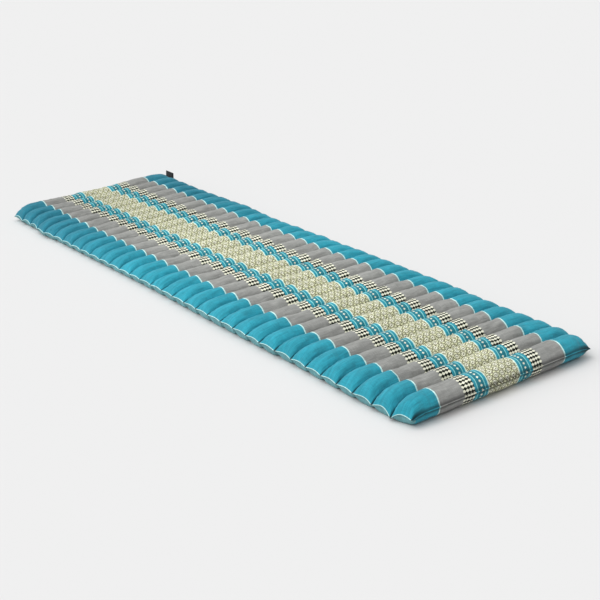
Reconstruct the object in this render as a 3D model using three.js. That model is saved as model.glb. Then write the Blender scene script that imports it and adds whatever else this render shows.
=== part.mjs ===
// A Thai roll-up mat: 33 kapok-filled tubes side by side, sewn from two striped cotton panels, lying flat.
// Millimetres, +Z up. X runs along the mat to its plump near end, Y across it, and Z = 0 is the face it lies on.
// The origin is under the middle of the mat.
import * as THREE from "three";

// Driving sizes
const LENGTH = 2000; // first end seam to last end seam, laid straight
const WIDTH = 614; // long edge to long edge at the middle of the length
const TUBES = 33;
const PITCH = LENGTH / TUBES;
const HALF_WIDTH = WIDTH / 2;

// Cloth held together by a seam
const CHANNEL_SEAM_THICKNESS = 4; // both panels and the stitching between two tubes
const EDGE_SEAM_THICKNESS = 3; // the turned edge all round the mat

// Section of a tube: its top is an arch between two channel seams, its foot is pressed flat on the floor.
const ARCH_FULLNESS = 2.3; // power of the distance from the tube's middle
const ARCH_SHOULDER = 0.62; // power of what is left, lower for a squarer shoulder
const FOOT_PRESSURE = 1.45; // above 1 the foot is flat where the arch is nearly full
const END_FOOT_PRESSURE = 0.95; // at the end seams, where the underside stays round
const TOP_ROUNDING = 64; // how far from the long edge the top of a tube starts to close
const FOOT_ROUNDING = 26; // the same for its foot, which the weight above spreads outwards
const SEAM_DROOP = 75; // how far from the long edge a channel seam leaves its level
const SEAM_DROOP_POWER = 1.3; // above 1 the seam bends down sharply at the edge
const DRAW_IN = 3; // how far filling pulls the edge in at the middle of a tube
const DRAW_IN_REACH = 120;

// How the mat lies: slightly bowed, and narrower towards its ends
const BOW = -22; // sideways shift of both ends
const SWAY = -10; // S-shaped part of the bow
const SIDE_SHIFT = 15; // brings the bowed mat back over the origin
const END_NARROWING = { far: 12.5, near: 15.5 }; // each long edge, at the two ends

// Heights along the mat, by the number of tubes from the far end.
// crown: top of a tube. seam: level of the channel seams. notch: a channel seam where it meets the long edge.
// rim: the edge seam at the middle of a tube.
const HEIGHTS = [
  { tube: 0, crown: 53, seam: 25, notch: 15, rim: 24 },
  { tube: 5, crown: 51, seam: 24, notch: 19, rim: 23 },
  { tube: 11, crown: 48, seam: 22, notch: 20, rim: 23 },
  { tube: 17, crown: 48, seam: 22, notch: 23, rim: 25 },
  { tube: 21, crown: 50, seam: 23, notch: 25, rim: 27 },
  { tube: 26, crown: 52, seam: 24, notch: 21, rim: 25 },
  { tube: 30, crown: 54, seam: 25, notch: 21, rim: 24 },
  { tube: 31, crown: 55, seam: 26, notch: 16, rim: 25 },
  { tube: 32, crown: 58, seam: 27, notch: 8, rim: 25 },
  { tube: 33, crown: 59, seam: 28, notch: 22, rim: 26 },
];

// Where the near long edge lies out of line. out: away from the mat. along: towards the near end.
const NEAR_EDGE = [
  { tube: 0, out: 0, along: 0 },
  { tube: 2.5, out: -2, along: 0 },
  { tube: 3.6, out: 9, along: 2 },
  { tube: 5.5, out: 0, along: 0 },
  { tube: 14, out: -3, along: 0 },
  { tube: 21, out: 2, along: 3 },
  { tube: 24.6, out: 0, along: -4 },
  { tube: 25.4, out: -4, along: 3 },
  { tube: 30, out: -3, along: 3 },
  { tube: 31, out: -6, along: 8 },
  { tube: 32, out: -9, along: 9 },
  { tube: 33, out: -20, along: 0 },
];
// The same for the far long edge, which ends in a pointed corner. lift: how far the edge is off the floor.
const FAR_EDGE = [
  { tube: 0, out: 4, along: 2, lift: 10 },
  { tube: 2, out: 0, along: 2, lift: 9 },
  { tube: 5, out: -1, along: 3, lift: 5 },
  { tube: 8, out: 7, along: 1, lift: 1 },
  { tube: 12.5, out: -11, along: 3, lift: 0 },
  { tube: 16, out: -10, along: 8, lift: 0 },
  { tube: 21, out: -11, along: 8, lift: 0 },
  { tube: 25, out: -5, along: 10, lift: 0 },
  { tube: 28, out: -6, along: 7, lift: 0 },
  { tube: 30.5, out: 8, along: 5, lift: 0 },
  { tube: 32, out: 11, along: 2, lift: 0 },
  { tube: 33, out: -6, along: 1, lift: 3 },
];
const EDGE_REACH = 110; // how far into the mat a shift of the edge is felt
const EDGE_REACH_POWER = 1.5; // how fast it fades
const LIFT_REACH = 280; // the same for the lift

// The two end seams: how far filling pushes each one out, and how high it lies
const FAR_END = { swell: 15, corner: 2, seam: 27 };
const NEAR_END = { swell: 12, corner: 8, seam: 31 };
const END_REACH = 0.9; // in tubes
const CORNER_REACH = 90; // along the end seam

// Steps of the mesh
const STEPS_PER_TUBE = 6;
const ROW_INSETS = [0, 8, 22, 42, 68, 120, HALF_WIDTH]; // distances from a long edge
const ROWS = 2 * (ROW_INSETS.length - 1);

// The blank tab, a folded ribbon sewn into the far edge seam by the far end.
// curl is how far its top leans out, and skew is how much more of that its far end has.
const TAB = { width: 52, height: 40, thickness: 1.6, centre: -973, base: 21, curl: 2, skew: 0.4 };
const TAB_GAP = 0.4; // from the edge seam
const TAB_STEPS = 6; // of its mesh, both ways

const clamp01 = (value) => Math.min(Math.max(value, 0), 1);
const mix = (from, to, share) => from + (to - from) * share;
const ease = (share) => share * share * (3 - 2 * share);

// Value of one column of a table at a place along the mat, eased between its rows.
function read(rows, column, tube) {
  const next = rows.findIndex((row) => row.tube >= tube);
  if (next <= 0) return rows[0][column];
  const [before, after] = [rows[next - 1], rows[next]];
  const share = (tube - before.tube) / (after.tube - before.tube);
  return mix(before[column], after[column], ease(share));
}

// Distance of row number j from the middle line, on the cloth.
function rowOffset(j) {
  const fromNear = j <= ROWS / 2;
  return fromNear ? ROW_INSETS[j] - HALF_WIDTH : HALF_WIDTH - ROW_INSETS[ROWS - j];
}

// 0 at a seam and 1 at the top of the tube; u runs from -1 to 1 across the tube.
const arch = (u) => clamp01(1 - Math.abs(u) ** ARCH_FULLNESS) ** ARCH_SHOULDER;

// 0 at the long edge and 1 once the tube has its full height.
const endRound = (inset, reach) => Math.sqrt(1 - (1 - clamp01(inset / reach)) ** 2);

// 1 at either end seam and 0 from END_REACH tubes into the mat.
const endShare = (tube) => clamp01(1 - Math.min(tube, TUBES - tube) / END_REACH);

// Height of the surface in which both panels are sewn together, at a point of the mat.
function seamLevel(tube, u, inset) {
  const rim = mix(read(HEIGHTS, "notch", tube), read(HEIGHTS, "rim", tube), Math.cos((u * Math.PI) / 2));
  const byEdge = (1 - clamp01(inset / SEAM_DROOP)) ** SEAM_DROOP_POWER;
  const level = mix(read(HEIGHTS, "seam", tube), rim, byEdge);
  const end = tube < TUBES / 2 ? FAR_END : NEAR_END;
  return mix(level, end.seam, endShare(tube) * (1 - byEdge));
}

// Top and underside of the filled mat at a point.
function heightsAt(tube, u, offset) {
  const inset = HALF_WIDTH - Math.abs(offset);
  const atEdge = inset === 0 || tube === 0 || tube === TUBES;
  const level = seamLevel(tube, u, inset);
  const cloth = (atEdge ? EDGE_SEAM_THICKNESS : CHANNEL_SEAM_THICKNESS) / 2;
  const rise = (read(HEIGHTS, "crown", tube) - level) * arch(u) * endRound(inset, TOP_ROUNDING);
  const pressure = mix(FOOT_PRESSURE, END_FOOT_PRESSURE, endShare(tube));
  const drop = level * clamp01(pressure * arch(u) * endRound(inset, FOOT_ROUNDING));
  const lift = offset > 0 ? read(FAR_EDGE, "lift", tube) * (1 - clamp01(inset / LIFT_REACH)) : 0;
  return {
    top: lift + level + (atEdge ? cloth : Math.max(rise, cloth)),
    foot: lift + level - (atEdge ? cloth : Math.max(drop, cloth)),
  };
}

// Place in plan of a point that lies `tube` tubes from the far end and `offset` from the middle line.
function planAt(tube, u, offset) {
  const along = (2 * tube) / TUBES - 1;
  const inset = HALF_WIDTH - Math.abs(offset);
  const narrowing = (along < 0 ? END_NARROWING.far : END_NARROWING.near) * along ** 2;
  const edge = offset < 0 ? NEAR_EDGE : FAR_EDGE;
  const felt = (1 - clamp01(inset / EDGE_REACH)) ** EDGE_REACH_POWER;
  const pulledIn = DRAW_IN * Math.cos((u * Math.PI) / 2) * (1 - clamp01(inset / DRAW_IN_REACH));
  const outward = read(edge, "out", tube) * felt - pulledIn;
  const middle = BOW * along ** 2 + SWAY * (along ** 3 - along) + SIDE_SHIFT;
  const y = middle + offset * (1 - narrowing / HALF_WIDTH) + Math.sign(offset) * outward;

  const end = tube < TUBES / 2 ? FAR_END : NEAR_END;
  const swell = mix(end.corner, end.swell, ease(clamp01(inset / CORNER_REACH)));
  const push = Math.sign(along) * swell * clamp01(1 - Math.min(tube, TUBES - tube));
  const x = -LENGTH / 2 + tube * PITCH + push + read(edge, "along", tube) * felt;
  return { x, y };
}

// A box of the mesh steps, one tube long per unit in X, each of whose points is moved to its place on the mat.
function matGeometry() {
  const box = new THREE.BoxGeometry(TUBES, ROWS, 2, TUBES * STEPS_PER_TUBE, ROWS, 1);
  const points = box.getAttribute("position");
  for (let i = 0; i < points.count; i++) {
    const step = Math.round((points.getX(i) + TUBES / 2) * STEPS_PER_TUBE);
    const number = Math.min(Math.floor(step / STEPS_PER_TUBE), TUBES - 1);
    // Steps are closer by the seams, where the cloth is steep.
    const u = Math.sin(((step - number * STEPS_PER_TUBE) / STEPS_PER_TUBE - 0.5) * Math.PI);
    const tube = number + (u + 1) / 2;
    const offset = rowOffset(Math.round(points.getY(i) + ROWS / 2));
    const { x, y } = planAt(tube, u, offset);
    const { top, foot } = heightsAt(tube, u, offset);
    points.setXYZ(i, x, y, points.getZ(i) > 0 ? top : foot);
  }
  box.computeVertexNormals();
  return box;
}

// Furthest out that the far edge seam reaches beside the tab.
function farEdgeByTab() {
  let furthest = 0;
  for (let step = 0; step <= TAB_STEPS; step++) {
    const x = TAB.centre + TAB.width * (step / TAB_STEPS - 0.5);
    const tube = (x + LENGTH / 2) / PITCH;
    furthest = Math.max(furthest, planAt(tube, 2 * (tube % 1) - 1, HALF_WIDTH).y);
  }
  return furthest;
}

// A loop of black ribbon pressed flat, standing up from the seam and curling away from the mat.
function tabGeometry() {
  const box = new THREE.BoxGeometry(TAB.width, TAB.thickness, TAB.height, TAB_STEPS, 1, TAB_STEPS);
  box.translate(0, TAB.thickness / 2, TAB.height / 2);
  const points = box.getAttribute("position");
  for (let i = 0; i < points.count; i++) {
    const up = points.getZ(i) / TAB.height;
    const across = (2 * points.getX(i)) / TAB.width;
    const out = TAB.curl * up ** 2 * (1 - TAB.skew * across);
    points.setY(i, points.getY(i) + out);
  }
  box.computeVertexNormals();
  return box;
}

const cottonMaterial = new THREE.MeshStandardMaterial({ color: 0x3f9fb8, roughness: 0.92, metalness: 0 });
const ribbonMaterial = new THREE.MeshStandardMaterial({ color: 0x1c1a1b, roughness: 0.7, metalness: 0 });

function makeMat() {
  const mat = new THREE.Mesh(matGeometry(), cottonMaterial);
  mat.name = "mat";
  return mat;
}

function makeTab() {
  const tab = new THREE.Mesh(tabGeometry(), ribbonMaterial);
  tab.name = "blank_tab";
  tab.position.set(TAB.centre, farEdgeByTab() + TAB_GAP, TAB.base);
  return tab;
}

const rollUpMat = new THREE.Group();
rollUpMat.add(makeMat(), makeTab());

export default rollUpMat;
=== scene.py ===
# A Thai roll-up mat: tubes of filling between two panels of banded cotton, lying unrolled on a pale floor.
# Metres, +Z up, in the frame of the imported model: X runs along the mat to its plump near end, Y across it.
import math

import bmesh
import bpy
from bpy.props import FloatProperty, FloatVectorProperty, IntProperty, PointerProperty
from mathutils import Matrix, Vector, noise


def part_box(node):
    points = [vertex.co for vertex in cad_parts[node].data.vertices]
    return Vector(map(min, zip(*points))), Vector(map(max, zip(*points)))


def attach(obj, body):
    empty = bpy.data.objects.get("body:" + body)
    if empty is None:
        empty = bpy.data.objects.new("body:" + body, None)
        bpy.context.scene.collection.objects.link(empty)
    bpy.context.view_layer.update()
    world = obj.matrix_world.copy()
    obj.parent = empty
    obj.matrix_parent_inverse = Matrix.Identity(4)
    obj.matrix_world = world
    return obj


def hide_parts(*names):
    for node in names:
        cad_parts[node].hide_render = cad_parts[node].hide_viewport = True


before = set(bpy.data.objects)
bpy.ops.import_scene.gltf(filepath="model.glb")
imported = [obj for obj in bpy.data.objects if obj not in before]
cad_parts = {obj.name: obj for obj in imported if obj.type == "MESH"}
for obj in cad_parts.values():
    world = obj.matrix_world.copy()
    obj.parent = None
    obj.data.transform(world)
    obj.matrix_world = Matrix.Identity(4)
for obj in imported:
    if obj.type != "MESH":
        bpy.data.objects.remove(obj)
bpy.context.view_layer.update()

bl_info = {
    "name": "Roll-up mat",
    "version": (1, 0, 0),
    "blender": (4, 5, 0),
    "location": "View3D > Sidebar > Mat",
    "description": "Makes a filled, banded floor mat with sewn channels, its stitches and its ribbon tab",
    "category": "Add Mesh",
}

MM = 0.001

# The mat's own sizes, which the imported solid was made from
LENGTH = 2.0
WIDTH = 0.614
TUBES = 33
PITCH = LENGTH / TUBES
HALF_WIDTH = WIDTH / 2


def table(columns, *rows):
    """Rows of numbers and words, each read by the name of its column."""
    return [dict(zip(columns.split(), row)) for row in rows]


# Heights along the mat, in millimetres, by the number of tubes from the far end.
# crown: top of a tube. seam: level of the channel seams. notch: the same where they meet the long edge.
# rim: the edge seam at the middle of a tube.
HEIGHTS = table(
    "tube crown seam notch rim",
    (0, 53, 25, 15, 24),
    (5, 51, 24, 19, 23),
    (11, 48, 22, 20, 23),
    (17, 48, 22, 23, 25),
    (21, 50, 23, 25, 27),
    (26, 52, 24, 21, 25),
    (30, 54, 25, 21, 24),
    (31, 55, 26, 16, 25),
    (32, 58, 27, 8, 25),
    (33, 59, 28, 22, 26),
)

# Where a long edge lies out of line, in millimetres. out: away from the mat. along: towards the near end.
# lift: how far the edge is off the floor, which the near edge never is.
NEAR_EDGE = table(
    "tube out along",
    (0, 0, 0),
    (2.5, -2, 0),
    (3.6, 9, 2),
    (5.5, 0, 0),
    (14, -3, 0),
    (21, 2, 3),
    (24.6, 0, -4),
    (25.4, -4, 3),
    (30, -3, 3),
    (31, -6, 8),
    (32, -9, 9),
    (33, -20, 0),
)
FAR_EDGE = table(
    "tube out along lift",
    (0, 4, 2, 10),
    (2, 0, 2, 9),
    (5, -1, 3, 5),
    (8, 7, 1, 1),
    (12.5, -11, 3, 0),
    (16, -10, 8, 0),
    (21, -11, 8, 0),
    (25, -5, 10, 0),
    (28, -6, 7, 0),
    (30.5, 8, 5, 0),
    (32, 11, 2, 0),
    (33, -6, 1, 3),
)

# The two ends. swell: how far filling pushes the end seam out at its middle. corner: the same at a corner.
# seam: height of the end seam. narrower: how much narrower each half of the mat is there.
FAR_END = {"swell": 15 * MM, "corner": 2 * MM, "seam": 27 * MM, "narrower": 12.5 * MM}
NEAR_END = {"swell": 12 * MM, "corner": 8 * MM, "seam": 31 * MM, "narrower": 15.5 * MM}

# How far in from the long edge each thing that happens there is felt
NOTCH_REACH = 75 * MM
EDGE_REACH = 110 * MM
DRAW_IN_REACH = 120 * MM
CORNER_REACH = 90 * MM
LIFT_REACH = 280 * MM
TOP_CLOSING = 64 * MM
UNDER_CLOSING = 26 * MM

# The powers of those falls: higher keeps more of it by the edge
NOTCH_POWER = 1.3
EDGE_POWER = 1.5

# How far the edge is drawn in at the middle of a tube
DRAW_IN = 3 * MM
# The middle line of the mat: its bow, a lean towards one end, and its place in the frame
BOW = -22 * MM
LEAN = -10 * MM
MIDDLE = 15 * MM
# The part of an end tube, in tubes, in which its seams rise to the end seam's height
END_TUBE = 0.9
# How much fuller the underside is than the top, which gives a tube its flat foot; less by an end seam
UNDER_FULLNESS = 1.45
END_UNDER_FULLNESS = 0.95
# Usual rise of a tube over its seams, for spacing the lines of the mesh
USUAL_RISE = 22 * MM
# How sharp the ridge of the edge seam stays, up to 1
LIP_CREASE = 0.5
# Points by which a curve is measured before it is cut into equal steps
CURVE_POINTS = 600
# A point of the underside lower than this lies on the floor
FOOT_LEVEL = 0.5 * MM
TINY = 1e-6

# Noises of the form: steps by tube, steps by metre across the mat, and the slice of the noise
WANDER_NOISE = (1.7, 11, 3.1)
FILLING_NOISE = (0.9, 9, 7.7)

# Sizes of the cloth's small forms along and across the mat
LONG_FOLD = (11 * MM, 120 * MM)
LUMP = (55 * MM, 60 * MM)
SMALL_LUMP = (18 * MM, 22 * MM)
SMALL_LUMP_SHARE = 0.35
# Slices of the noise for each of them, so that no two are alike, nor the top and the underside
PUCKER_SLICE = 3.1
GATHER_SLICE = 2.3
LONG_FOLD_SLICE = 5.1
LUMP_SLICE = 9.3
SMALL_LUMP_SLICE = 4.7
FAN_SLICE = 0.4
# Steps in the noise from one seam to the next, and from the middle line to a long edge
SEAM_STEP = 7.3
FAN_STEP = 3.7
EDGE_STEP = 7

# Bands of the cloth from its middle line to its edge, in millimetres, each with its colour
BANDS = table(
    "from colour",
    (0, "cream"),
    (50, "pale_line"),
    (53, "teal"),
    (60, "light_teal"),
    (62.4, "deep_teal"),
    (83.1, "light_teal"),
    (85.5, "teal"),
    (93.5, "black"),
    (127.5, "grey"),
    (203.5, "pale_line"),
    (208, "teal"),
    (307.3, "pale_line"),
)

# The underside is a paler, greyer teal from this distance from the middle line to the edge seam
PALE_UNDERSIDE_FROM = 288 * MM


def clamp01(value):
    return min(max(value, 0.0), 1.0)


def blend(start, end, share):
    return start + (end - start) * share


def ease(share):
    return share * share * (3 - 2 * share)


def read(rows, column, tube):
    """Value of one column of a table at a place along the mat, eased between its rows."""
    for before, after in zip(rows, rows[1:]):
        if tube <= after["tube"]:
            share = clamp01((tube - before["tube"]) / (after["tube"] - before["tube"]))
            return blend(before[column], after[column], ease(share)) * MM
    return rows[-1][column] * MM


# Shape of the mat


def number_property(name, description, default, **more):
    return FloatProperty(name=name, description=description, default=default, **more)


def length_property(name, description, default):
    return number_property(name, description, default, unit="LENGTH")


class MatShape(bpy.types.PropertyGroup):
    lip: length_property("Edge lip", "How far the edge seam stands out as a ridge", 0.003)
    edge_thickness: length_property("Edge thickness", "Both panels where the edge seam joins them", 0.0034)
    channel_thickness: length_property("Channel thickness", "Both panels at a channel seam", 0.003)
    shoulder: number_property(
        "Tube shoulder", "Lower makes the top of a tube squarer", 0.56, min=0.3, max=1.0, subtype="FACTOR"
    )
    fullness: number_property("Tube fullness", "Higher keeps a tube full closer to its seams", 2.6)
    unevenness: length_property("Uneven filling", "How much higher or lower a tube's top lies", 0.002)
    seam_wander: length_property("Seam wander", "How far a channel seam strays from its line", 0.0012)
    cells: IntProperty(name="Cells", description="Cells of the mesh across one tube", default=10)
    rows: IntProperty(name="Rows", description="Cells of the mesh from long edge to long edge", default=84)


class Filling(bpy.types.PropertyGroup):
    slack: number_property("Slack", "How much longer the cloth is than its form", 0.012, subtype="FACTOR")
    pressure: number_property("Pressure", "Pressure of the filling on the cloth", 4.0)
    most_swelling: length_property("Most swelling", "How far the filling may move the cloth", 0.002)
    lumps: length_property("Lumps", "Height of the soft lumps of filling under the cloth", 0.0012)


class Gathers(bpy.types.PropertyGroup):
    pucker: length_property("Puckers", "Height of the small puckers along a channel seam", 0.0007)
    pucker_spacing: length_property("Pucker spacing", "Usual distance between two puckers", 0.011)
    pucker_reach: length_property("Pucker reach", "How far from the seam a pucker is highest", 0.005)
    notch_fold: length_property("Notch folds", "Height of the folds where a seam meets the edge", 0.0011)
    notch_reach: length_property("Reach of those folds", "Length over which they fade", 0.035)
    long_fold: length_property("Long folds", "Height of the soft folds that run along a tube", 0.00035)
    end_fold: length_property("End folds", "Height of the gathers and pleats along an end seam", 0.0013)


class Stitching(bpy.types.PropertyGroup):
    pitch: length_property("Stitch pitch", "From the start of one stitch to the start of the next", 0.0045)
    length: length_property("Stitch length", "Length of a stitch", 0.0034)
    thickness: length_property("Thread", "Thickness of the thread", 0.0009)


def arch(u, shape):
    """0 at a seam and 1 at the top of the tube; u runs from -1 to 1 across the tube."""
    return clamp01(1 - abs(u) ** shape.fullness) ** shape.shoulder


def end_round(inset, reach):
    """0 at the long edge and 1 once the tube has its full height."""
    return math.sqrt(1 - (1 - clamp01(inset / reach)) ** 2)


def end_by(tube):
    return FAR_END if tube < TUBES / 2 else NEAR_END


def by_end(tube):
    """1 at either end seam, and 0 beyond the part of the end tube that it shapes."""
    return clamp01(1 - min(tube, TUBES - tube) / END_TUBE)


def slow_noise(tube, offset, steps):
    return noise.noise(Vector((tube * steps[0], offset * steps[1], steps[2])))


def seam_level(tube, u, inset):
    """Height of the surface in which both panels are sewn together."""
    rim = blend(read(HEIGHTS, "notch", tube), read(HEIGHTS, "rim", tube), math.cos(u * math.pi / 2))
    by_edge = (1 - clamp01(inset / NOTCH_REACH)) ** NOTCH_POWER
    level = blend(read(HEIGHTS, "seam", tube), rim, by_edge)
    return blend(level, end_by(tube)["seam"], by_end(tube) * (1 - by_edge))


def plan_place(tube, u, offset, shape):
    """Place in plan of a point so many tubes from the far end, and offset from the middle line."""
    along = 2 * tube / TUBES - 1
    inset = HALF_WIDTH - abs(offset)
    edge = NEAR_EDGE if offset < 0 else FAR_EDGE
    felt = (1 - clamp01(inset / EDGE_REACH)) ** EDGE_POWER
    drawn_in = DRAW_IN * math.cos(u * math.pi / 2) * (1 - clamp01(inset / DRAW_IN_REACH))
    middle = BOW * along**2 + LEAN * (along**3 - along) + MIDDLE
    narrowed = offset * (1 - end_by(tube)["narrower"] * along**2 / HALF_WIDTH)
    outward = math.copysign(1, offset) * (read(edge, "out", tube) * felt - drawn_in)
    y = middle + narrowed + outward

    end = end_by(tube)
    swell = blend(end["corner"], end["swell"], ease(clamp01(inset / CORNER_REACH)))
    push = math.copysign(1, along) * swell * clamp01(1 - min(tube, TUBES - tube))
    wander = shape.seam_wander * slow_noise(tube, offset, WANDER_NOISE)
    return -LENGTH / 2 + tube * PITCH + push + read(edge, "along", tube) * felt + wander, y


def mat_point(tube, u, offset, side, shape):
    """Point of the top (side 1), of the underside (side -1) or of the edge's lip (side 0)."""
    inset = HALF_WIDTH - abs(offset)
    at_edge = inset < TINY or tube < TINY or tube > TUBES - TINY
    x, y = plan_place(tube, u, offset, shape)
    level = seam_level(tube, u, inset)
    lift = read(FAR_EDGE, "lift", tube) * (1 - clamp01(inset / LIFT_REACH)) if offset > 0 else 0.0
    if side == 0:
        return lip_point(x, y, level + lift, tube, offset, shape)
    cloth = (shape.edge_thickness if at_edge else shape.channel_thickness) / 2
    if side > 0:
        crown = read(HEIGHTS, "crown", tube) + shape.unevenness * slow_noise(tube, offset, FILLING_NOISE)
        rise = (crown - level) * arch(u, shape) * end_round(inset, TOP_CLOSING)
        return Vector((x, y, level + lift + (cloth if at_edge else max(rise, cloth))))
    fullness = blend(UNDER_FULLNESS, END_UNDER_FULLNESS, by_end(tube))
    drop = level * clamp01(fullness * arch(u, shape) * end_round(inset, UNDER_CLOSING))
    return Vector((x, y, level + lift - (cloth if at_edge else max(drop, cloth))))


def lip_point(x, y, level, tube, offset, shape):
    """Point of the ridge that the edge seam makes, outside both panels."""
    ends = math.copysign(1, tube - TUBES / 2) if min(tube, TUBES - tube) < TINY else 0
    sides = math.copysign(1, offset) if HALF_WIDTH - abs(offset) < TINY else 0
    return Vector((x, y, level)) + Vector((ends, sides, 0)).normalized() * shape.lip


def even_steps(curve, count):
    """Parameters from 0 to 1 that cut a curve into steps of equal length."""
    fine = [i / CURVE_POINTS for i in range(CURVE_POINTS + 1)]
    points = [curve(t) for t in fine]
    lengths = [0.0]
    for a, b in zip(points, points[1:]):
        lengths.append(lengths[-1] + (b - a).length)
    steps = []
    for i in range(count + 1):
        target = lengths[-1] * i / count
        k = next(k for k, length in enumerate(lengths) if length >= target - TINY)
        part = (target - lengths[k - 1]) / (lengths[k] - lengths[k - 1]) if k else 0.0
        steps.append(blend(fine[max(k - 1, 0)], fine[k], part))
    return steps


def tube_steps(shape):
    """u of each mesh line across one tube, spaced evenly over its arched top."""

    half = PITCH / 2

    def over_tube(t):
        return Vector((blend(-half, half, t), USUAL_RISE * arch(2 * t - 1, shape)))

    return [2 * t - 1 for t in even_steps(over_tube, shape.cells)]


def row_offsets(shape):
    """How far from the middle line each mesh line lies, spaced evenly where tubes close."""

    def closing(t):
        return Vector((t * HALF_WIDTH, USUAL_RISE * end_round(t * HALF_WIDTH, TOP_CLOSING)))

    near_half = [t * HALF_WIDTH - HALF_WIDTH for t in even_steps(closing, shape.rows // 2)]
    return near_half + [-offset for offset in reversed(near_half[:-1])]


def sewn_panels(shape):
    """Both panels as one closed grid: X counts mesh lines along the mat, Y across it, Z is the side."""
    columns = TUBES * shape.cells
    bm = bmesh.new()
    bmesh.ops.create_grid(bm, x_segments=columns, y_segments=shape.rows, size=0.5)
    bmesh.ops.scale(bm, vec=(columns, shape.rows, 1), verts=bm.verts)
    bmesh.ops.translate(bm, vec=(columns / 2, shape.rows / 2, 1), verts=bm.verts)
    under = bmesh.ops.duplicate(bm, geom=bm.verts[:] + bm.edges[:] + bm.faces[:])["geom"]
    bmesh.ops.translate(bm, vec=(0, 0, -2), verts=[v for v in under if isinstance(v, bmesh.types.BMVert)])
    bmesh.ops.reverse_faces(bm, faces=[f for f in under if isinstance(f, bmesh.types.BMFace)])
    rims = [e for e in bm.edges if e.is_boundary]
    walls = bmesh.ops.bridge_loops(bm, edges=rims)["edges"]
    bmesh.ops.subdivide_edges(bm, edges=walls, cuts=1)
    bmesh.ops.recalc_face_normals(bm, faces=bm.faces)
    return bm


class GridPlace:
    """Where one point of the grid lies: its mesh lines, its tube, its offset and its side."""

    def __init__(self, vert, across_u, offsets, shape):
        self.column = round(vert.co.x)
        self.side = round(vert.co.z)
        self.offset = offsets[round(vert.co.y)]
        number = min(self.column // shape.cells, TUBES - 1)
        self.u = across_u[self.column - number * shape.cells]
        self.tube = number + (self.u + 1) / 2
        self.on_long_edge = abs(self.offset) > HALF_WIDTH - TINY
        self.on_end = self.column in (0, TUBES * shape.cells)
        self.on_seam = self.column % shape.cells == 0


def cloth_lengths(across_u, shape):
    """How far along the cloth each mesh line lies, by its number and its side."""
    lengths = {}
    for side in (-1, 1):
        last = None
        travelled = 0.0
        for column in range(TUBES * shape.cells + 1):
            number = min(column // shape.cells, TUBES - 1)
            u = across_u[column - number * shape.cells]
            point = mat_point(number + (u + 1) / 2, u, 0.0, side, shape)
            travelled += (point - last).length if last else 0.0
            last = point
            lengths[column, side] = travelled
    return lengths


def shape_mat(bm, shape):
    """Puts each point of the grid on the filled mat and the cloth, and notes what later steps need."""
    cloth_map = bm.loops.layers.uv.new("cloth")
    hold, tube, offset, underside = (
        bm.verts.layers.float.new(name) for name in ("sewn", "tube", "offset", "underside")
    )
    crease = bm.edges.layers.float.new("crease_edge")
    across_u = tube_steps(shape)
    offsets = row_offsets(shape)
    lengths = cloth_lengths(across_u, shape)
    places = {vert: GridPlace(vert, across_u, offsets, shape) for vert in bm.verts}

    for edge in bm.edges:
        a, b = (places[vert] for vert in edge.verts)
        along_edge = a.on_long_edge and b.on_long_edge or a.on_end and b.on_end
        along_seam = a.on_seam and a.column == b.column
        if a.side == b.side:
            edge[crease] = float(along_edge or along_seam) if a.side else LIP_CREASE

    points = {}
    for vert, place in places.items():
        points[vert] = mat_point(place.tube, place.u, place.offset, place.side, shape)
        foot = place.side < 0 and points[vert].z < FOOT_LEVEL
        held = place.on_seam or place.on_long_edge or place.side == 0 or foot
        vert[hold] = 1.0 if held else 0.0
        beyond = shape.lip / PITCH if place.side == 0 and place.on_end else 0.0
        vert[tube] = place.tube + math.copysign(beyond, place.tube - TUBES / 2)
        vert[offset] = place.offset
        vert[underside] = 1.0 if place.side < 0 else 0.0
    for face in bm.faces:
        face.smooth = True
        for loop in face.loops:
            place = places[loop.vert]
            beyond = shape.lip if place.side == 0 and place.on_long_edge else 0.0
            across = place.offset + math.copysign(beyond, place.offset)
            loop[cloth_map].uv = (across, lengths[place.column, place.side or 1])
    for vert, point in points.items():
        vert.co = point


def swell_with_filling(mat, filling):
    """Blows the slack cloth up between its seams, never far from the sewn form nor under the floor."""
    sewn = [vert.co.copy() for vert in mat.data.vertices]
    held = mat.vertex_groups.new(name="sewn")
    weights = mat.data.attributes["sewn"].data
    held.add([i for i, weight in enumerate(weights) if weight.value > 0.5], 1.0, "REPLACE")
    cloth = mat.modifiers.new("filling", "CLOTH")
    cotton = cloth.settings
    cotton.quality = 3
    cotton.mass = 0.05
    cotton.tension_stiffness = 12
    cotton.compression_stiffness = 12
    cotton.shear_stiffness = 4
    cotton.bending_stiffness = 0.05
    cotton.use_pressure = True
    cotton.uniform_pressure_force = filling.pressure
    cotton.shrink_min = -filling.slack
    cotton.vertex_group_mass = held.name
    cotton.effector_weights.gravity = 0
    cloth.collision_settings.use_collision = False
    first_frame, last_frame = 1, 20
    cloth.point_cache.frame_start = first_frame
    cloth.point_cache.frame_end = last_frame
    scene = bpy.context.scene
    for number in range(first_frame, last_frame + 1):
        scene.frame_set(number)
    blown = mat.evaluated_get(bpy.context.evaluated_depsgraph_get()).data
    for vert, start, end in zip(mat.data.vertices, sewn, blown.vertices):
        step = end.co - start
        if step.length > filling.most_swelling:
            step *= filling.most_swelling / step.length
        vert.co = start + step
        vert.co.z = max(vert.co.z, 0.0)
    mat.modifiers.remove(cloth)
    mat.vertex_groups.clear()
    scene.frame_set(first_frame)


def smooth_once(mat):
    """Applies one level of subdivision, with the seams kept sharp by their creases."""
    smooth = mat.modifiers.new("smooth", "SUBSURF")
    smooth.levels = 1
    smooth.render_levels = 1
    graph = bpy.context.evaluated_depsgraph_get()
    smoothed = mat.evaluated_get(graph)
    finer = bpy.data.meshes.new_from_object(smoothed, preserve_all_data_layers=True, depsgraph=graph)
    mat.modifiers.clear()
    mat.data = finer
    mat.data.name = mat.name


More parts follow.
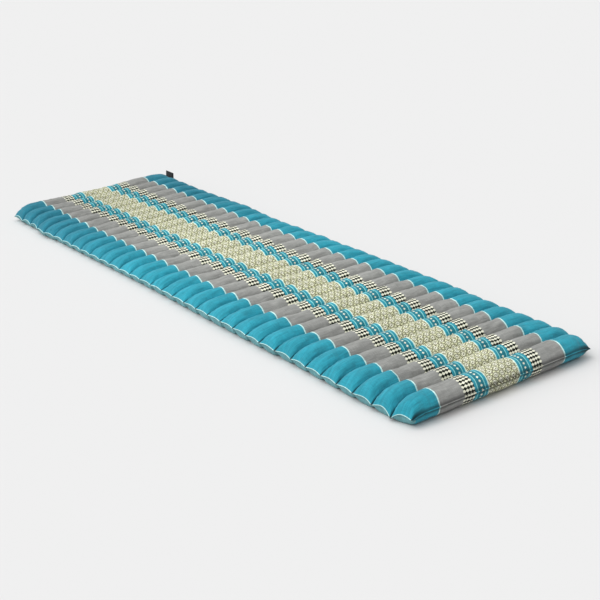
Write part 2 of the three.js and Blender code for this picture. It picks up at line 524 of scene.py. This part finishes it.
def ridges(x, y, z):
    """Noise from -1 to 1 that runs in thin crests."""
    return 1 - 4 * abs(noise.noise(Vector((x, y, z))))


def swelling(distance, reach):
    """0 at a seam, 1 at its reach, and fading after that."""
    share = distance / reach
    return share * math.exp(1 - share)


def fan(by, inset, number, reach, folds):
    """Folds that fan out from a point of the edge and fade within a reach."""
    distance = math.hypot(by, inset)
    unfolded = 0.3 * reach
    fade = math.exp(-distance / reach) * clamp01(distance / unfolded)
    return fade * ridges(math.atan2(by, inset) * folds, number * FAN_STEP, FAN_SLICE)


def gather_height(tube, offset, side, gathers, lumps):
    """How far sewing and filling lift the cloth at one place."""
    seam = round(tube)
    by_seam = (tube - seam) * PITCH
    off_seam = abs(by_seam)
    inset = HALF_WIDTH - abs(offset)
    number = seam + math.copysign(EDGE_STEP, offset)
    height = 0.0
    if 0 < seam < TUBES:
        pucker = ridges(offset / gathers.pucker_spacing, seam * SEAM_STEP, side * PUCKER_SLICE)
        height += gathers.pucker * swelling(off_seam, gathers.pucker_reach) * pucker
        height += gathers.notch_fold * fan(by_seam, inset, number, gathers.notch_reach, folds=3.0)
    else:
        spacing, reach = 1.5 * gathers.pucker_spacing, 1.8 * gathers.pucker_reach
        gather = 0.6 * ridges(offset / spacing, seam, side * GATHER_SLICE)
        height += gathers.end_fold * swelling(off_seam, reach) * gather
        height += gathers.end_fold * fan(by_seam, inset, number, 1.5 * gathers.notch_reach, folds=4.0)
    between = clamp01(off_seam / (2 * gathers.pucker_reach))
    along = tube * PITCH
    fold = ridges(along / LONG_FOLD[0], offset / LONG_FOLD[1], side * LONG_FOLD_SLICE)
    height += gathers.long_fold * between * fold
    lump = noise.noise(Vector((along / LUMP[0], offset / LUMP[1], side * LUMP_SLICE)))
    small = noise.noise(Vector((along / SMALL_LUMP[0], offset / SMALL_LUMP[1], side * SMALL_LUMP_SLICE)))
    height += lumps * between * (lump + SMALL_LUMP_SHARE * small)
    return height * clamp01(inset / (2 * gathers.pucker_reach))


def gather_cloth(mat, gathers, lumps):
    """Moves the cloth by its puckers, folds and lumps; the feet stay flat on the floor."""
    all_moved_from = 8 * MM
    mesh = mat.data
    columns = [mesh.attributes[name].data for name in ("tube", "offset", "underside")]
    normals = [vert.normal.copy() for vert in mesh.vertices]
    for vert, normal, tube, offset, underside in zip(mesh.vertices, normals, *columns):
        side = -1 if underside.value > 0.5 else 1
        off_floor = clamp01(vert.co.z / all_moved_from) if side < 0 else 1.0
        height = gather_height(tube.value, offset.value, side, gathers, lumps)
        vert.co += normal * height * off_floor
        vert.co.z = max(vert.co.z, 0.0)
    for name in ("sewn", "offset", "crease_edge"):
        mesh.attributes.remove(mesh.attributes[name])


def channel_stitches(shape, stitching):
    """A row of stitches along each channel seam, above and below, from one shape that is repeated."""
    margin = 14 * MM
    stands_out = 0.2 * stitching.thickness
    reach = HALF_WIDTH - margin
    count = int(2 * reach / stitching.pitch)
    bm = bmesh.new()
    radius = 0.4
    bmesh.ops.create_icosphere(bm, subdivisions=1, radius=radius)
    for step, times in (((0, 1, 0), count - 1), ((1, 0, 0), TUBES - 2), ((0, 0, 1), 1)):
        geom = bm.verts[:] + bm.edges[:] + bm.faces[:]
        turn = {"cent": (0, 0, 0), "axis": (0, 0, 1), "angle": 0}
        bmesh.ops.spin(bm, geom=geom, dvec=step, steps=times, use_duplicate=True, **turn)
    size = Vector((stitching.thickness, stitching.length, stitching.thickness)) / (2 * radius)
    middles = {}
    for vert in bm.verts:
        cell = tuple(round(c) for c in vert.co)
        if cell not in middles:
            seam, row, layer = cell
            offset = blend(-reach, reach, (row + 0.5) / count)
            side = 2 * layer - 1
            point = mat_point(seam + 1, 1.0, offset, side, shape)
            middles[cell] = point + Vector((0, 0, side * stands_out))
        vert.co = middles[cell] + (vert.co - Vector(cell)) * size
    for face in bm.faces:
        face.smooth = True
    return bm


# Finishes


def from_hex(digits):
    """Linear colour of six hex digits."""
    shares = [int(digits[i : i + 2], 16) / 255 for i in (0, 2, 4)]
    return tuple(s / 12.92 if s <= 0.04045 else ((s + 0.055) / 1.055) ** 2.4 for s in shares)


def colour_property(name, description, digits):
    limits = {"size": 3, "min": 0.0, "max": 1.0, "subtype": "COLOR"}
    return FloatVectorProperty(name=name, description=description, default=from_hex(digits), **limits)


class ClothLook(bpy.types.PropertyGroup):
    teal: colour_property("Teal", "Broad bands along the edges", "2d98ac")
    # Painted shade: a darker copy of the teal, blended in towards the far end
    shaded_far_teal: colour_property("Far teal", "The same bands at the far end", "2c8297")
    deep_teal: colour_property("Deep teal", "Behind the column of dots", "25808f")
    light_teal: colour_property("Light teal", "Fine lines beside the dots", "8fdbdc")
    grey: colour_property("Grey", "Plain bands beside the middle", "959693")
    pale_line: colour_property("Pale line", "Fine lines between the bands, and the edge", "c8efec")
    pale_underside_teal: colour_property("Faded teal", "The underside beside its edge", "69a2a8")
    cream: colour_property("Cream", "Ground of the middle band", "f2f5cd")
    bright: colour_property("Bright thread", "Dots, lozenges and the inside of the rosettes", "f0f1dc")
    black: colour_property("Black", "Between the lozenges", "1d2219")
    olive: colour_property("Olive", "Outlines of the lattice and its rosettes", "453f24")
    ribbon: colour_property("Ribbon", "The blank tab", "1c1a1b")
    stitch: colour_property("Sewing thread", "Stitches of the channel seams", "9fb6b4")
    thread: length_property("Thread", "Distance from one thread of the weave to the next", 0.0009)
    repeat: length_property("Repeat", "Distance along the cloth between two dots or lozenges", 0.0108)
    lattice_across: length_property("Lattice across", "Distance between two rosettes of a row", 0.0208)
    lattice_along: length_property("Lattice along", "Distance between two rows of rosettes in line", 0.028)


# Sockets of a Mix node that mixes colours
MIX_SHARE, MIX_START, MIX_END, MIX_RESULT = 0, 6, 7, 2


class Wiring:
    """Adds nodes to a tree. An input that isn't a socket is set as a value."""

    def __init__(self, tree):
        self.tree = tree

    def add(self, kind, inputs=None, **settings):
        node = self.tree.nodes.new(kind)
        for name, value in settings.items():
            setattr(node, name, value)
        for name, value in (inputs or {}).items():
            self.feed(node.inputs[name], value)
        return node

    def feed(self, socket, value):
        if isinstance(value, bpy.types.NodeSocket):
            self.tree.links.new(value, socket)
        else:
            socket.default_value = value

    def math(self, operation, *values):
        return self.add("ShaderNodeMath", dict(enumerate(values)), operation=operation).outputs[0]

    def mix(self, share, start, end):
        inputs = {MIX_SHARE: share, MIX_START: start, MIX_END: end}
        return self.add("ShaderNodeMix", inputs, data_type="RGBA").outputs[MIX_RESULT]

    def ramp(self, value, start, end, low, high, **settings):
        """A number that goes from low to high while value goes from start to end."""
        inputs = {"Value": value, "From Min": start, "From Max": end, "To Min": low, "To Max": high}
        return self.add("ShaderNodeMapRange", inputs, **settings).outputs[0]

    def bump(self, height, strength, distance, **more):
        inputs = {"Height": height, "Strength": strength, "Distance": distance, **more}
        return self.add("ShaderNodeBump", inputs).outputs[0]

    def attribute(self, name):
        return self.add("ShaderNodeAttribute", attribute_name=name).outputs["Fac"]

    def noise(self, place, **settings):
        return self.add("ShaderNodeTexNoise", {"Vector": place, **settings}).outputs[0]

    def point(self, x, y):
        return self.add("ShaderNodeCombineXYZ", {0: x, 1: y}).outputs[0]

    def use(self, tree, **inputs):
        """A group node; underscores in the names of its inputs stand for spaces."""
        node = self.add("ShaderNodeGroup", node_tree=tree)
        for name, value in inputs.items():
            self.feed(node.inputs[name.replace("_", " ")], value)
        return node.outputs


def new_group(name, inputs, outputs):
    """A shader node group of numbers. Returns its wiring, its inputs and its output node."""
    tree = bpy.data.node_groups.new(name, "ShaderNodeTree")
    for label, default in inputs.items():
        socket = tree.interface.new_socket(label, in_out="INPUT", socket_type="NodeSocketFloat")
        socket.default_value = default
    for label in outputs:
        tree.interface.new_socket(label, in_out="OUTPUT", socket_type="NodeSocketFloat")
    wiring = Wiring(tree)
    start = wiring.add("NodeGroupInput")
    end = wiring.add("NodeGroupOutput")
    return wiring, start.outputs, end


def weave_group():
    """Plain weave with slubs: the height of its threads, and how much lighter or darker each place is."""
    inputs = {"Across": 0.0, "Along": 0.0, "Thread": 0.001, "Slubs": 0.5}
    w, given, end = new_group("plain_weave", inputs, ("Height", "Shade"))
    turns = w.math("DIVIDE", math.pi, given["Thread"])
    warp = w.math("SINE", w.math("MULTIPLY", given["Across"], turns))
    weft = w.math("SINE", w.math("MULTIPLY", given["Along"], turns))
    threads = w.math("MULTIPLY_ADD", w.math("MULTIPLY", warp, weft), 0.5, 0.5)

    # Slubs are long along one thread and thin across it, so each noise is squeezed one way.
    def slubs(across_scale, along_scale):
        across = w.math("MULTIPLY", given["Across"], across_scale)
        along = w.math("MULTIPLY", given["Along"], along_scale)
        return w.noise(w.point(across, along), Scale=1.0, Detail=2.0)

    thin, long = 700, 45
    uneven = w.math("ADD", slubs(thin, long), slubs(long, thin))
    shade = w.math("MULTIPLY_ADD", w.math("SUBTRACT", uneven, 1.0), given["Slubs"], 1.0)
    w.feed(end.inputs["Height"], w.math("MULTIPLY_ADD", uneven, 0.6, threads))
    w.feed(end.inputs["Shade"], shade)
    return w.tree


def repeat_group():
    """Distance to the middle of a cell of a repeat, round and diamond-wise, in shares of a size."""
    inputs = dict.fromkeys(("Across", "Along", "Shift"), 0.0)
    inputs |= dict.fromkeys(("Pitch Across", "Pitch Along", "Half Width", "Half Height"), 0.01)
    w, given, end = new_group("repeated_mark", inputs, ("Diamond", "Round", "Angle"))

    def from_middle(place, pitch, size):
        cells = w.math("ADD", w.math("DIVIDE", place, pitch), given["Shift"])
        in_cell = w.math("SUBTRACT", w.math("FRACT", cells), 0.5)
        return w.math("DIVIDE", w.math("MULTIPLY", in_cell, pitch), size)

    x = from_middle(given["Across"], given["Pitch Across"], given["Half Width"])
    y = from_middle(given["Along"], given["Pitch Along"], given["Half Height"])
    diamond = w.math("ADD", w.math("ABSOLUTE", x), w.math("ABSOLUTE", y))
    squares = w.math("ADD", w.math("MULTIPLY", x, x), w.math("MULTIPLY", y, y))
    w.feed(end.inputs["Diamond"], diamond)
    w.feed(end.inputs["Round"], w.math("SQRT", squares))
    w.feed(end.inputs["Angle"], w.math("ARCTAN2", y, x))
    return w.tree


def crease_group():
    """Soft creases of worn cloth, with painted shade in their hollows and painted highlight on their crests,
    and broad patches where it is a little lighter or darker.
    """
    inputs = {"Across": 0.0, "Along": 0.0, "Fineness": 1.0, "Patches": 0.3, "Streaks": 0.8}
    w, given, end = new_group("soft_creases", inputs, ("Height", "Shade"))

    def squeezed(place, steps_in_metre):
        return w.math("MULTIPLY", given[place], w.math("MULTIPLY", given["Fineness"], steps_in_metre))

    place = w.point(squeezed("Across", 22), squeezed("Along", 110))
    creases = w.noise(place, Scale=1.0, Detail=3.0, Distortion=0.6)
    patches = w.noise(place, Scale=0.22, Detail=1.0)
    w.feed(end.inputs["Height"], creases)
    uneven = w.math("SUBTRACT", patches, 0.5)
    # Painted shade and highlight: the colour follows the creases, darker in their hollows and lighter on
    # their crests
    crease_shading = w.math("MULTIPLY_ADD", w.math("SUBTRACT", creases, 0.5), given["Streaks"], 1.0)
    w.feed(end.inputs["Shade"], w.math("MULTIPLY_ADD", uneven, given["Patches"], crease_shading))
    return w.tree


# Painted shade by a channel seam: how much of its light the cloth's colour keeps there, from the far part of
# the mat to its near part
SEAM_LIGHT = {"from": 7.0, "to": 20.0, "middle": (0.95, 0.7), "edge": (0.6, 0.08)}
# Half the width of that painted dark line in the middle of the mat and at its long edges
SEAM_SHADE = {"core": 0.3 * MM, "middle": 2.2 * MM, "edge": 4.5 * MM, "edge_from": 0.8 * HALF_WIDTH}
# What is left of that light at an end seam, where the painted shade is deeper, and over which part of the
# end tube it changes
END_SEAM_LIGHT = 0.5
END_SEAM_ZONE = (0.3, 0.1)
# Painted shade along the mat: how light the cloth's colour is, with one rise at the far end and one fall to
# the near end
FAR_RISE = {"start": 0.0, "end": 12.0, "low": 0.86, "high": 1.03}
NEAR_FALL = {"start": 16.0, "end": 30.0, "low": 1.0, "high": 0.88}


def by_seam(w, from_middle):
    """Painted shade along each seam: how much light the cloth's colour keeps there, less by the edges and in
    the near part.
    """
    tube = w.attribute("tube")
    from_seam = w.math("MULTIPLY", w.math("PINGPONG", tube, 0.5), PITCH)

    def towards_edge(in_middle, at_edge):
        return w.ramp(from_middle, SEAM_SHADE["edge_from"], HALF_WIDTH, in_middle, at_edge)

    def towards_near(place):
        return w.ramp(tube, SEAM_LIGHT["from"], SEAM_LIGHT["to"], *SEAM_LIGHT[place])

    from_half = w.math("ABSOLUTE", w.math("SUBTRACT", tube, TUBES / 2))
    start, end = (TUBES / 2 - distance for distance in END_SEAM_ZONE)
    by_end = w.ramp(from_half, start, end, 1.0, END_SEAM_LIGHT)
    least = w.math("MULTIPLY", towards_edge(towards_near("middle"), towards_near("edge")), by_end)
    reach = towards_edge(SEAM_SHADE["middle"], SEAM_SHADE["edge"])
    return w.ramp(from_seam, SEAM_SHADE["core"], reach, least, 1.0, interpolation_type="SMOOTHSTEP")


def shade_along_mat(w):
    """Painted shade: the cloth's colour is a little darker towards both ends."""
    tube = w.attribute("tube")
    return w.math("MULTIPLY", w.ramp(tube, **FAR_RISE), w.ramp(tube, **NEAR_FALL))


def shared_group(name, maker):
    return bpy.data.node_groups.get(name) or maker()


def new_material(name, roughness, sheen):
    """A material of cloth, its shader and the wiring of its tree."""
    material = bpy.data.materials.new(name)
    material.use_nodes = True
    shader = material.node_tree.nodes["Principled BSDF"]
    shader.inputs["Roughness"].default_value = roughness
    shader.inputs["Specular IOR Level"].default_value = 0.12
    shader.inputs["Sheen Weight"].default_value = sheen
    shader.inputs["Sheen Roughness"].default_value = 0.6
    return material, shader, Wiring(material.node_tree)


def cloth_place(w):
    """Place on the cloth in metres, as two numbers."""
    parts = w.add("ShaderNodeSeparateXYZ", {0: w.add("ShaderNodeUVMap", uv_map="cloth").outputs[0]}).outputs
    return parts["X"], parts["Y"]


def shade_colour(w, shader, colour, shades):
    """Feeds the shader a colour that several masks make lighter or darker."""
    for shade in shades:
        colour = w.add("ShaderNodeVectorMath", {0: colour, 1: shade}, operation="MULTIPLY").outputs[0]
    w.feed(shader.inputs["Base Color"], colour)


def band_colours(w, from_middle, look):
    """The plain bands, as a ramp of flat colours from the middle line to the edge."""
    beyond_edge = 10 * MM
    reach = HALF_WIDTH + beyond_edge
    ramp = w.add("ShaderNodeValToRGB", {"Fac": w.math("DIVIDE", from_middle, reach)})
    ramp.color_ramp.interpolation = "CONSTANT"
    stops = ramp.color_ramp.elements
    for number, band in enumerate(BANDS):
        stop = stops[number] if number < 2 else stops.new(1.0)
        stop.position = band["from"] * MM / reach
        stop.color = (*getattr(look, band["colour"]), 1.0)
    return ramp.outputs["Color"]


class Pattern:
    """Paints repeated marks over the bands of a cloth, each within its own band."""

    def __init__(self, w, across, along, look):
        self.w = w
        self.look = look
        self.across = across
        self.along = along
        self.from_middle = w.math("ABSOLUTE", across)
        self.colour = band_colours(w, self.from_middle, look)
        self.band = None

    def within(self, low, high):
        """Keeps what is painted next between two distances from the middle line."""
        self.band = self.w.math("COMPARE", self.from_middle, (low + high) / 2, (high - low) / 2)

    def paint(self, mask, colour):
        share = self.w.math("MULTIPLY", self.band, mask)
        self.colour = self.w.mix(share, self.colour, (*getattr(self.look, colour), 1.0))

    def marks(self, across, pitch, half_size, shift=0.0):
        """Cells of one repeat. pitch and half_size are across and along the cloth."""
        sizes = {"Pitch_Across": pitch[0], "Pitch_Along": pitch[1]}
        sizes |= {"Half_Width": half_size[0], "Half_Height": half_size[1]}
        group = shared_group("repeated_mark", repeat_group)
        return self.w.use(group, Across=across, Along=self.along, Shift=shift, **sizes)

    def spots(self, mark, shape, size, colour):
        """Paints each cell up to a size, which may change with the angle."""
        self.paint(self.w.math("LESS_THAN", mark[shape], size), colour)

    def lattice(self):
        """Rosettes in rows, every other row shifted by half a step, with a lattice between them."""
        w = self.w
        pitch = (self.look.lattice_across, self.look.lattice_along)
        half_rosette = (5.6 * MM, 6.4 * MM)
        petals = 8
        self.within(-1 * MM, 50 * MM)
        net = self.marks(self.across, pitch, (pitch[0] / 2, pitch[1] / 2), 0.5)
        self.paint(w.math("COMPARE", net["Diamond"], 1.0, 0.11), "olive")
        for shift in (0.0, 0.5):
            rosette = self.marks(self.across, pitch, half_rosette, shift)
            turned = w.math("COSINE", w.math("MULTIPLY", rosette["Angle"], petals))
            rim = w.math("MULTIPLY_ADD", turned, 0.09, 0.95)
            self.spots(rosette, "Round", w.math("ADD", rim, 0.16), "olive")
            self.spots(rosette, "Round", w.math("SUBTRACT", rim, 0.1), "bright")
            self.spots(rosette, "Round", 0.3, "olive")

    def dots(self):
        """One column of dots between the two fine lines."""
        middle, step, half_dot = 72.75 * MM, 20 * MM, 3.6 * MM
        self.within(64 * MM, 82 * MM)
        across = self.w.math("SUBTRACT", self.from_middle, middle - step / 2)
        dot = self.marks(across, (step, self.look.repeat), (half_dot, half_dot))
        self.spots(dot, "Diamond", 1.0, "bright")

    def lozenges(self):
        """Four columns of lozenges whose tips meet over the black ground."""
        start, step, columns = 93.5 * MM, 9.1 * MM, 4
        self.within(start, start + columns * step)
        across = self.w.math("SUBTRACT", self.from_middle, start)
        lozenge = self.marks(across, (step, self.look.repeat), (5.2 * MM, 4.3 * MM))
        self.spots(lozenge, "Diamond", 1.0, "bright")

    def shade_far_end(self):
        """Painted shade: the broad teal bands blend into a darker copy of their teal towards the far end."""
        self.within(208 * MM, 307 * MM)
        self.paint(self.w.ramp(self.w.attribute("tube"), 4.0, 14.0, 1.0, 0.0), "shaded_far_teal")

    def pale_underside_strip(self):
        """The underside beside the edge seam, in a paler, greyer teal."""
        self.within(PALE_UNDERSIDE_FROM, HALF_WIDTH)
        self.paint(self.w.math("GREATER_THAN", self.w.attribute("underside"), 0.5), "pale_underside_teal")


def banded_cotton(look):
    """Cotton with lengthwise bands: a rosette lattice in the middle, dots, lozenges and plain stripes."""
    material, shader, w = new_material("banded_cotton", 0.95, 0.1)
    across, along = cloth_place(w)
    pattern = Pattern(w, across, along, look)
    pattern.lattice()
    pattern.dots()
    pattern.lozenges()
    pattern.shade_far_end()
    pattern.pale_underside_strip()
    weave = shared_group("plain_weave", weave_group)
    threads = w.use(weave, Across=across, Along=along, Thread=look.thread)
    creases = w.use(shared_group("soft_creases", crease_group), Across=across, Along=along)
    shades = (threads["Shade"], creases["Shade"], by_seam(w, pattern.from_middle), shade_along_mat(w))
    shade_colour(w, shader, pattern.colour, shades)
    fine = w.bump(threads["Height"], 0.35, 0.2 * MM)
    w.feed(shader.inputs["Normal"], w.bump(creases["Height"], 0.7, 2.5 * MM, Normal=fine))
    return material


def ribbon_cloth(look):
    """Black woven ribbon."""
    material, shader, w = new_material("black_ribbon", 0.7, 0.1)
    across, along = cloth_place(w)
    weave = shared_group("plain_weave", weave_group)
    threads = w.use(weave, Across=across, Along=along, Thread=0.5 * MM)
    creases = w.use(shared_group("soft_creases", crease_group), Across=across, Along=along, Fineness=2.5)
    shade_colour(w, shader, tuple(look.ribbon), (threads["Shade"], creases["Shade"]))
    w.feed(shader.inputs["Normal"], w.bump(threads["Height"], 0.5, 0.2 * MM))
    return material


def sewing_thread(look):
    """Twisted cotton thread, a little uneven in colour."""
    material, shader, w = new_material("sewing_thread", 0.8, 0.2)
    place = w.add("ShaderNodeTexCoord").outputs["Object"]
    fibres = w.noise(place, Scale=900.0, Detail=2.0)
    shade = w.math("MULTIPLY_ADD", w.math("SUBTRACT", fibres, 0.5), 0.6, 1.0)
    shade_colour(w, shader, tuple(look.stitch), (shade,))
    inputs = {"Vector": place, "Scale": 600.0, "Distortion": 1.0}
    twist = w.add("ShaderNodeTexWave", inputs, wave_type="BANDS", bands_direction="DIAGONAL")
    w.feed(shader.inputs["Normal"], w.bump(twist.outputs["Fac"], 0.5, 0.1 * MM))
    return material


def plain_floor(colour):
    """Matt pale floor."""
    material, shader, _ = new_material("pale_floor", 0.95, 0.0)
    shader.inputs["Specular IOR Level"].default_value = 0.0
    shader.inputs["Base Color"].default_value = (*colour, 1.0)
    return material


# Pieces


def object_from(bm, name, material):
    """A finished piece: its mesh, its material and its place in the scene."""
    mesh = bpy.data.meshes.new(name)
    bm.to_mesh(mesh)
    bm.free()
    mesh.materials.append(material)
    piece = bpy.data.objects.new(name, mesh)
    bpy.context.scene.collection.objects.link(piece)
    return piece


class RollUpMatSettings(bpy.types.PropertyGroup):
    tab_width: length_property("Tab width", "Along the edge", 0.052)
    tab_height: length_property("Tab height", "From the edge seam to the fold", 0.04)
    floor_colour: colour_property("Floor", "The pale floor", "dadada")
    brightest: number_property("Brightest", "Strength of the wide light where it is brightest", 1.28)
    dimmest: number_property("Dimmest", "Strength of the wide light far from there", 0.15)
    backdrop: number_property("Backdrop", "Brightness of the plain wall behind the floor", 0.86)
    key: number_property("Key light", "Strength of the soft light from above", 1.4)
    key_softness: number_property("Key softness", "How wide that light looks", 1.0, subtype="ANGLE")


class MAT_OT_filled_mat(bpy.types.Operator):
    """Sew the two panels, fill the tubes, gather the cloth and give it its bands"""

    bl_idname = "rollmat.filled_mat"
    bl_label = "Filled mat"

    def execute(self, context):
        scene = context.scene
        bm = sewn_panels(scene.mat_shape)
        shape_mat(bm, scene.mat_shape)
        mat = object_from(bm, "filled_mat", banded_cotton(scene.cloth_look))
        swell_with_filling(mat, scene.mat_filling)
        smooth_once(mat)
        gather_cloth(mat, scene.mat_gathers, scene.mat_filling.lumps)
        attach(mat, "root")
        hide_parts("mat")
        return {"FINISHED"}


class MAT_OT_stitches(bpy.types.Operator):
    """Stitch the channel seams"""

    bl_idname = "rollmat.stitches"
    bl_label = "Channel stitches"

    def execute(self, context):
        scene = context.scene
        bm = channel_stitches(scene.mat_shape, scene.mat_stitching)
        stitches = object_from(bm, "channel_stitches", sewing_thread(scene.cloth_look))
        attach(stitches, "root")
        return {"FINISHED"}


class MAT_OT_tab(bpy.types.Operator):
    """Fold the blank ribbon tab and set it in the far edge seam"""

    bl_idname = "rollmat.tab"
    bl_label = "Ribbon tab"

    def execute(self, context):
        settings = context.scene.mat_settings
        low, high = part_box("blank_tab")
        ribbon = folded_ribbon(settings, low, high)
        tab = object_from(ribbon, "ribbon_tab", ribbon_cloth(context.scene.cloth_look))
        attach(tab, "root")
        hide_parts("blank_tab")
        return {"FINISHED"}


def folded_ribbon(settings, low, high):
    """A ribbon folded once at its top: up the outer side, over the fold and down the inner side."""
    half_gap = 0.9 * MM
    curl = 2 * MM
    skew = 0.4
    straight = settings.tab_height - half_gap
    quarter_turn = half_gap * math.pi / 2
    bm = bmesh.new()
    uv = bm.loops.layers.uv.new("cloth")
    bmesh.ops.create_grid(bm, x_segments=14, y_segments=40, size=0.5)
    on_cloth = {}
    for vert in bm.verts:
        across, along = vert.co.x * settings.tab_width, vert.co.y * 2 * settings.tab_height
        on_cloth[vert] = (across, along)
        if abs(along) > quarter_turn:
            side = math.copysign(half_gap, along)
            up = straight - (abs(along) - quarter_turn)
        else:
            side = half_gap * math.sin(along / half_gap)
            up = straight + half_gap * math.cos(along / half_gap)
        share = up / settings.tab_height
        out = curl * share**2 * (1 - skew * 2 * across / settings.tab_width)
        vert.co = ((low.x + high.x) / 2 + across, low.y + half_gap + side + out, low.z + up)
    for face in bm.faces:
        face.smooth = True
        for loop in face.loops:
            loop[uv].uv = on_cloth[loop.vert]
    bmesh.ops.solidify(bm, geom=bm.faces[:], thickness=0.5 * MM)
    bmesh.ops.recalc_face_normals(bm, faces=bm.faces)
    return bm


class MAT_OT_stage(bpy.types.Operator):
    """Make the floor, the lights and the camera"""

    bl_idname = "rollmat.stage"
    bl_label = "Floor, light and camera"

    def execute(self, context):
        settings = context.scene.mat_settings
        make_floor(settings)
        make_lights(context.scene, settings)
        make_camera(context.scene)
        return {"FINISHED"}


def make_floor(settings):
    bm = bmesh.new()
    bmesh.ops.create_circle(bm, cap_ends=True, segments=96, radius=40)
    floor = object_from(bm, "floor", plain_floor(settings.floor_colour))


def make_lights(scene, settings):
    sky = bpy.data.worlds.new("sky")
    sky.use_nodes = True
    w = Wiring(sky.node_tree)
    background = sky.node_tree.nodes["Background"]
    background.inputs["Color"].default_value = (1.0, 1.0, 1.0, 1.0)
    direction = w.add("ShaderNodeTexCoord").outputs["Generated"]
    brightest = Vector((-0.2, -0.3, 1.0)).normalized()
    nearness = w.add("ShaderNodeVectorMath", {0: direction, 1: brightest}, operation="DOT_PRODUCT")
    light = w.ramp(nearness.outputs["Value"], 0.0, 1.0, settings.dimmest, settings.brightest)
    seen = w.add("ShaderNodeLightPath").outputs["Is Camera Ray"]
    strength = w.add("ShaderNodeMix", {"Factor": seen, "A": light, "B": settings.backdrop}).outputs[0]
    w.feed(background.inputs["Strength"], strength)
    scene.world = sky
    lamp = bpy.data.lights.new("key", "SUN")
    lamp.energy = settings.key
    lamp.angle = settings.key_softness
    key = bpy.data.objects.new("key", lamp)
    towards_light = Vector((-0.15, -0.6, 1.0))
    key.rotation_euler = towards_light.to_track_quat("Z", "Y").to_euler()
    scene.collection.objects.link(key)
    scene.view_settings.view_transform = "Standard"


def make_camera(scene):
    lens = bpy.data.cameras.new("camera")
    lens.sensor_width = 36
    lens.lens = 71.88
    lens.shift_x = 0.0109
    camera = bpy.data.objects.new("camera", lens)
    heading, tilt, roll = (math.radians(angle) for angle in (54.986, 68.453, -2.6))
    turn = Matrix.Rotation(heading, 4, "Z") @ Matrix.Rotation(tilt, 4, "X") @ Matrix.Rotation(roll, 4, "Z")
    camera.matrix_world = Matrix.Translation((2.7287, -1.7771, 1.2056)) @ turn
    scene.collection.objects.link(camera)
    scene.camera = camera


class MAT_PT_panel(bpy.types.Panel):
    """Sizes, colours and pieces of the mat"""

    bl_idname = "MAT_PT_panel"
    bl_label = "Roll-up mat"
    bl_space_type = "VIEW_3D"
    bl_region_type = "UI"
    bl_category = "Mat"

    def draw(self, context):
        for group in GROUPS:
            box = self.layout.box()
            settings = getattr(context.scene, group)
            for name in settings.bl_rna.properties.keys():
                if name not in ("name", "rna_type"):
                    box.prop(settings, name)
        for operator in OPERATORS:
            self.layout.operator(operator.bl_idname)


GROUPS = {
    "mat_shape": MatShape,
    "mat_filling": Filling,
    "mat_gathers": Gathers,
    "mat_stitching": Stitching,
    "cloth_look": ClothLook,
    "mat_settings": RollUpMatSettings,
}
OPERATORS = (MAT_OT_stage, MAT_OT_filled_mat, MAT_OT_stitches, MAT_OT_tab)
CLASSES = (*GROUPS.values(), *OPERATORS, MAT_PT_panel)


def register():
    for kind in CLASSES:
        bpy.utils.register_class(kind)
    for name, kind in GROUPS.items():
        setattr(bpy.types.Scene, name, PointerProperty(type=kind))


def unregister():
    for name in reversed(GROUPS):
        delattr(bpy.types.Scene, name)
    for kind in reversed(CLASSES):
        bpy.utils.unregister_class(kind)


def main():
    register()
    bpy.ops.rollmat.stage()
    bpy.ops.rollmat.filled_mat()
    bpy.ops.rollmat.stitches()
    bpy.ops.rollmat.tab()


if __name__ == "__main__":
    main()
